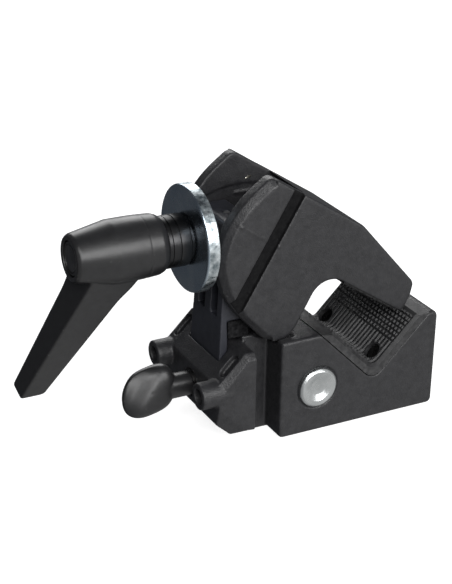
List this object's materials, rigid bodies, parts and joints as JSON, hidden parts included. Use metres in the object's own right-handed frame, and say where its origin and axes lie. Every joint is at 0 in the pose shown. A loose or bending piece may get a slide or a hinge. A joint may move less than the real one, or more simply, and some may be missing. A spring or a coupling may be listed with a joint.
{
  "type": "super clamp",
  "caption": "Clamp with a fixed V jaw and a hinged upper jaw, closed on a tube or shelf by a ratchet lever on a threaded stud, with a hex stud socket behind.",
  "frame": {"origin": "on the base face, under the bottom of the fixed V, in the clamp's plane of symmetry", "axes": "+X from the lever towards the open end of the jaws, +Y along a clamped tube, +Z from the base face up to the upper jaw"},
  "size_m": [0.1582, 0.0528, 0.1035],
  "materials": {
    "casting_black": "fine-textured black powder coat",
    "arm_black": "smooth bluish-black coat",
    "pad_black": "moulded, studded grip face",
    "handle_black": "satin moulded plastic",
    "zinc": "bluish bright zinc plate",
    "dark_steel": "black oxide, turned",
    "steel": "plain machined steel",
    "brass": "turned"
  },
  "bodies": {
    "clamp_body": {"body_casting": "casting_black", "jaw_liner": "pad_black", "liner_screws": "dark_steel", "arm_rivet": "zinc", "tension_arm": "arm_black", "spacer_blocks": "pad_black", "hinge_pins": "steel", "threaded_stud": "steel", "stud_cross_pin": "steel"},
    "jaw": {"upper_jaw": "casting_black", "jaw_pad": "pad_black", "pad_screws": "dark_steel"},
    "washer": {"pressure_washer": "zinc", "friction_ring": "brass"},
    "lever_core": {"lever_insert": "dark_steel", "retaining_screw": "dark_steel", "lever_spring": "steel"},
    "handle": {"lever_handle": "handle_black", "spline_ring": "steel"},
    "tip": {"screw_tip": "brass"},
    "lock": {"lock_screw": "steel", "lock_knob": "handle_black"}
  },
  "joints": [
    {"name": "jaw_hinge", "type": "hinge", "parent": "clamp_body", "child": "jaw", "pos_m": [-0.0404, 0, 0.0503], "axis": [0, -1, 0], "range_deg": [-5.5, 50]},
    {"name": "washer_travel", "type": "slide", "parent": "clamp_body", "child": "washer", "axis": [-1, 0, 0], "range_m": [-0.00214, 0.01946]},
    {"name": "lever_turn", "type": "hinge", "parent": "washer", "child": "lever_core", "pos_m": [-0.0864, 0, 0.0784], "axis": [-1, 0, 0], "range_deg": [-440, 4000]},
    {"name": "handle_lift", "type": "slide", "parent": "lever_core", "child": "handle", "axis": [-1, 0, 0], "range_m": [0, 0.0028], "stiffness_N_per_m": 1500, "springref_m": -0.002, "deforming": ["lever_spring"]},
    {"name": "lock_travel", "type": "slide", "parent": "clamp_body", "child": "tip", "axis": [-1, 0, 0], "range_m": [-0.0015, 0.0025]},
    {"name": "lock_turn", "type": "hinge", "parent": "tip", "child": "lock", "pos_m": [-0.0612, 0, 0.0186], "axis": [-1, 0, 0], "range_deg": [-432, 720]}
  ],
  "couplings": [
    {"joint": "washer_travel", "follows": "lever_turn", "m_per_rad": 0.00027852},
    {"joint": "jaw_hinge", "follows": "lever_turn", "ratio": 0.01249},
    {"joint": "lock_travel", "follows": "lock_turn", "m_per_rad": 0.00019894}
  ]
}
